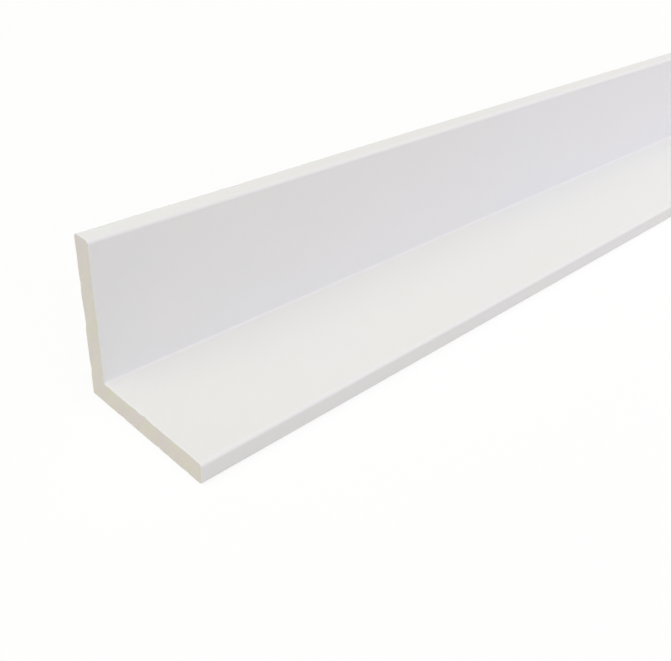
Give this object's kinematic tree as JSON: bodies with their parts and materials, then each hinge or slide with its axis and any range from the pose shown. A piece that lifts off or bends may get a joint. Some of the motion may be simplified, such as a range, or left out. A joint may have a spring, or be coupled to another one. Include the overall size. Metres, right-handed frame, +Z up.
{
  "type": "aluminium angle",
  "caption": "Straight equal-leg L-section bar of white-coated aluminium with lightly rounded edges, for edging, trimming corners, framing and bracing.",
  "frame": {"origin": "on the ground under the flat leg, midway along the bar and halfway between the flat leg's free edge and the back of the upright leg", "axes": "+X along the bar, +Y from the flat leg's free edge to the back of the upright leg, +Z up along the upright leg"},
  "size_m": [1, 0.03, 0.03],
  "materials": {
    "white_coat": "satin white coat on extruded aluminium, warmer and duller on the sawn ends"
  },
  "bodies": {
    "root": {"angle": "white_coat"}
  },
  "joints": []
}
